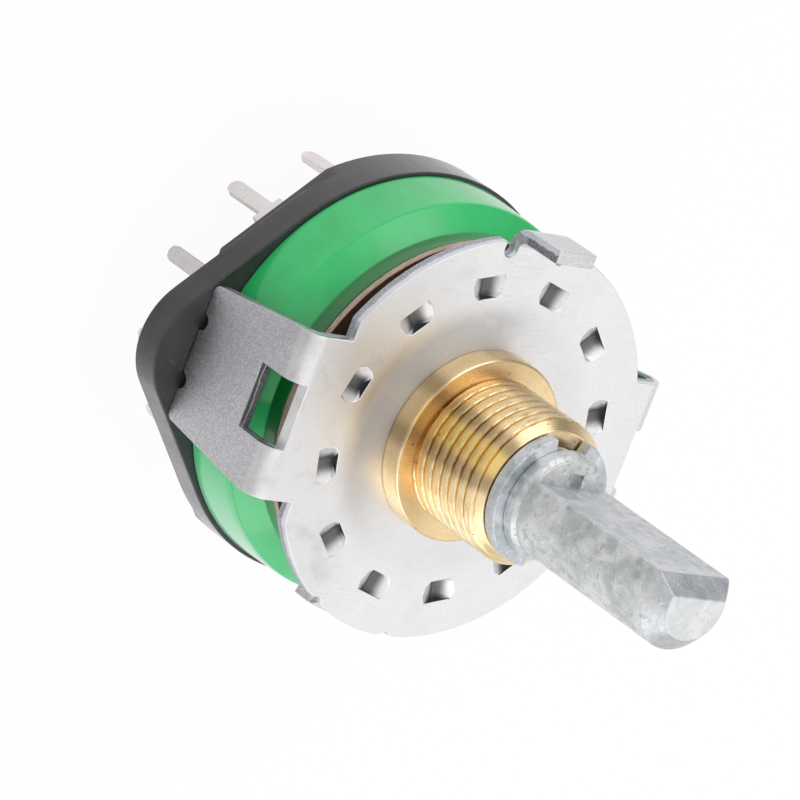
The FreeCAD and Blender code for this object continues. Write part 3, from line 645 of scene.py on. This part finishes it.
def dress(node, width, body, mats, sharp=EDGE_CREASE, pick=None, mark=None, heal=None):
    """Copy of a node with its outer edges rounded, standing for the node.

    sharp is the least angle of an edge that counts, in degrees. pick gives a face's material by its
    centre and normal, mark a vertex's depth in the sheet, and heal mends the mesh first.
    """
    work = bmesh.new()
    work.from_mesh(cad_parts[node].data)
    bmesh.ops.remove_doubles(work, verts=work.verts, dist=MERGE)
    if heal:
        heal(work)
    bmesh.ops.dissolve_limit(
        work, angle_limit=math.radians(FLAT_ANGLE), use_dissolve_boundaries=False,
        verts=work.verts, edges=work.edges)
    limit = math.radians(sharp)
    creased = [e for e in work.edges if len(e.link_faces) != 2 or e.calc_face_angle(0.0) > limit]
    patch = number_patches(work, creased)
    outer = [e for e in creased if e.is_convex]
    made = bmesh.ops.bevel(
        work, geom=outer, offset=width * MM, offset_type="OFFSET", segments=EDGE_STEPS, profile=0.5,
        affect="EDGES", clamp_overlap=False, loop_slide=False, material=-1)
    for face in made["faces"]:
        face[patch] = 0
    bmesh.ops.triangulate(work, faces=[f for f in work.faces if len(f.verts) > 4])
    bmesh.ops.dissolve_degenerate(work, dist=SLIVER, edges=work.edges)
    low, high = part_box(node)
    for vert in work.verts:
        vert.co = [min(max(at, a), b) for at, a, b in zip(vert.co, low, high)]
    if mark:
        layer = work.verts.layers.float.new("through")
        for vert in work.verts:
            vert[layer] = mark(vert.co / MM)
    if pick:
        for face in work.faces:
            face.material_index = pick(face.calc_center_median() / MM, face.normal)
    work.normal_update()
    normals = patch_normals(work, patch)
    mesh = smooth_mesh(work, node + "_dressed")
    mesh.normals_split_custom_set(normals)
    piece = new_object(node + "_dressed", mesh, mats, body)
    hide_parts(node)


def paint(node, mat):
    """A node that keeps its own shape gets its finish."""
    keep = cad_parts[node]
    keep.data.materials.clear()
    keep.data.materials.append(mat)


def lathe(rows, around):
    """Closed ring of rows. A row is (radius, z) or a function of the angle that gives both."""
    work = bmesh.new()
    rings = []
    for row in rows:
        ring = []
        for k in range(around):
            turn = 2 * math.pi * k / around
            radius, z = row(turn) if callable(row) else row
            ring.append(work.verts.new((radius * MM * math.cos(turn), radius * MM * math.sin(turn), z * MM)))
        rings.append(ring)
    for i, ring in enumerate(rings):
        above = rings[(i + 1) % len(rings)]
        for k in range(around):
            j = (k + 1) % around
            work.faces.new((ring[k], ring[j], above[j], above[k]))
    bmesh.ops.recalc_face_normals(work, faces=work.faces)
    return work


# Front plate

def face_above(z):
    """Height of the sheet's face that lies a small step above z, or None."""
    for level in (0.0, -SHEET):
        if level - FOLD_STEP < z < level - FOLD_SLACK:
            return level
    return None


def fold_pockets(work):
    """Let each pocket's strap fold out of the sheet at its round ends."""
    onto = {}
    for vert in work.verts:
        level = face_above(vert.co.z / MM)
        if level is None or vert.co.xy.length > (POCKET_FIELD + 0.1) * MM:
            continue
        for edge in vert.link_edges:
            above = edge.other_vert(vert)
            aside = (above.co.xy - vert.co.xy).length / MM
            if aside < FOLD_ASIDE and abs(above.co.z / MM - level) < FOLD_LEVEL:
                onto[vert] = above
    bmesh.ops.weld_verts(work, targetmap=onto)


def sheet_depth(p):
    """0 on the sheet's outer face, 1 on its inner face."""
    across = abs(p.x)
    bend_start = LEG_REACH - LEG_BEND
    if across > bend_start and p.z > -LEG_BEND:
        return (LEG_BEND - math.hypot(across - bend_start, p.z + LEG_BEND)) / SHEET
    if across > bend_start:
        return (LEG_REACH - across) / SHEET
    if p.z > 0.02:
        return (LUG_REACH - p.y) / SHEET
    return -p.z / SHEET


def plate_side(centre, normal):
    """1 for the sheet's cut edges, 0 for its rolled faces."""
    on_leg = abs(centre.x) > LEG_REACH - LEG_BEND + 0.1 and centre.z < -0.35
    on_lug = centre.z > 0.05
    if on_leg:
        window_end = abs(normal.x) < 0.35 and abs(normal.z) > 0.8 and centre.z > TAB_TOP
        cut = abs(normal.y) > 0.6 or window_end
    elif on_lug:
        cut = abs(normal.x) > 0.6
    else:
        cut = abs(normal.z) < 0.35 and centre.z > -0.95
    return 1 if cut else 0


# Bushing

def thread_radius(turn, z):
    """Radius at a turn in radians and a height: broad worn crests, narrow roots."""
    phase = ((z - THREAD_START) / THREAD_PITCH - (turn - math.radians(THREAD_HEADING)) / (2 * math.pi)) % 1.0
    away = abs(phase - 0.5)
    if away >= ROOT_HALF_WIDTH:
        return THREAD_RADIUS - CREST_DROP * ((0.5 - away) / (0.5 - ROOT_HALF_WIDTH)) ** 2
    flank = max(away - ROOT_FLOOR, 0.0) / (ROOT_HALF_WIDTH - ROOT_FLOOR)
    return THREAD_RADIUS - CREST_DROP - ROOT_DEPTH * (1 - flank)


def bushing_rows():
    """Section from the staked tail over the flange and the thread back through the bore."""
    stake_ease = 0.1
    ease = 0.06
    corner = 0.015
    face_middle = 5.2
    thread_foot = 4.80
    end_middle = 3.7
    first = 1.47
    last = BUSH_LENGTH - ease
    rows = [
        (BORE_RADIUS, STAKE_BACK), (STAKE_RADIUS - stake_ease, STAKE_BACK),
        (STAKE_RADIUS, STAKE_BACK + stake_ease), (STAKE_RADIUS, -SHEET), (NECK_RADIUS, -SHEET),
        (NECK_RADIUS, 0.0), (FLANGE_RADIUS - ease, 0.0), (FLANGE_RADIUS, ease), (FLANGE_RADIUS, 1.24)]
    bevel_steps = 5
    for k in range(1, bevel_steps + 1):
        bend = math.radians(90 * k / bevel_steps)
        rows.append((
            FLANGE_RADIUS - FLANGE_BEVEL + FLANGE_BEVEL * math.cos(bend),
            FLANGE_HEIGHT - FLANGE_BEVEL + FLANGE_BEVEL * math.sin(bend)))
    rows += [(face_middle, FLANGE_HEIGHT), (thread_foot, FLANGE_HEIGHT)]

    run_out = BUSH_LENGTH - THREAD_BEVEL
    for k in range(THREAD_ROWS + 1):
        z = first + (last - first) * k / THREAD_ROWS

        def row(turn, z=z):
            return min(thread_radius(turn, z), THREAD_RADIUS - max(0.0, z - run_out)), z
        rows.append(row)

    tip = THREAD_RADIUS - THREAD_BEVEL
    rows += [
        (tip + 0.02, BUSH_LENGTH - corner), (tip - 0.03, BUSH_LENGTH), (end_middle, BUSH_LENGTH),
        (BORE_RADIUS + 0.085, BUSH_LENGTH), (BORE_RADIUS + 0.03, BUSH_LENGTH - corner),
        (BORE_RADIUS, last), (BORE_RADIUS, 4.0), (BORE_RADIUS, 1.0)]
    return rows


def make_bushing(mat):
    mesh = smooth_mesh(lathe(bushing_rows(), THREAD_SIDES), "threaded_bushing")
    mesh.set_sharp_from_angle(angle=math.radians(THREAD_CREASE))
    piece = new_object("threaded_bushing", mesh, [mat], "body")
    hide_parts("bushing")


# Shaft and base

def ease_runout(work):
    """Keep the bead's run-out clear of the flat's rounded start."""
    for vert in work.verts:
        if abs(vert.co.z / MM - BEAD_RUNOUT_END) < RUNOUT_SLACK:
            vert.co.z = RUNOUT_EASED * MM


def base_side(centre, normal):
    """1 for the base's upright sides, 0 for its faces."""
    return 1 if abs(normal.z) < 0.7 else 0


# Pieces

def make_outside():
    """The pieces that show, with rounded edges, and the threaded bushing."""
    dress("front_plate", 0.06, "body", [plated_sheet(), sheared_edge()],
          sharp=20.0, pick=plate_side, mark=sheet_depth, heal=fold_pockets)
    make_bushing(turned_brass())
    dress("shaft", 0.09, "spindle", [cast_zinc("cast_zinc", (1.0, 1.0, 1.0))], heal=ease_runout)
    dress("thrust_collar", 0.10, "spindle", [cast_zinc("collar_zinc", (0.98, 1.0, 1.05))])
    dress("housing", 0.12, "body", [green_moulding()])
    dress("detent_disc", 0.04, "spindle", [laminate()])
    black_face = black_moulding("black_face", 0.7)
    black_side = black_moulding("black_side", 0.2, Coat_Weight=1.0, Coat_Roughness=0.14, Coat_IOR=1.5)
    dress("base", 0.10, "body", [black_face, black_side], pick=base_side)
    tin = tinned()
    for k in range(1, TERMINALS + 1):
        dress("terminal_%02d" % k, 0.06, "body", [tin])
    dress("common_terminal", 0.06, "body", [tin])


def make_inside():
    """The pieces inside, which keep their shape under a plain finish."""
    spring = plain_metal("spring_steel", (0.62, 0.62, 0.63), 0.3)
    ball = plain_metal("ball_steel", (0.80, 0.80, 0.82), 0.12)
    paint("index_hub", plain_metal("hub_steel", (0.56, 0.56, 0.57), 0.35))
    paint("detent_spring", spring)
    paint("rear_clip", spring)
    paint("detent_ball_1", ball)
    paint("detent_ball_2", ball)
    paint("contact_rotor", plain_moulding("natural_moulding", (0.66, 0.60, 0.46)))
    paint("wiper", plain_metal("contact_strip", (0.80, 0.62, 0.36), 0.25))


make_camera()
make_world()
make_floor()
lamp("key", KEY_PLACE)
lamp("side", SIDE_PLACE)
make_outside()
make_inside()

bpy.context.view_layer.update()
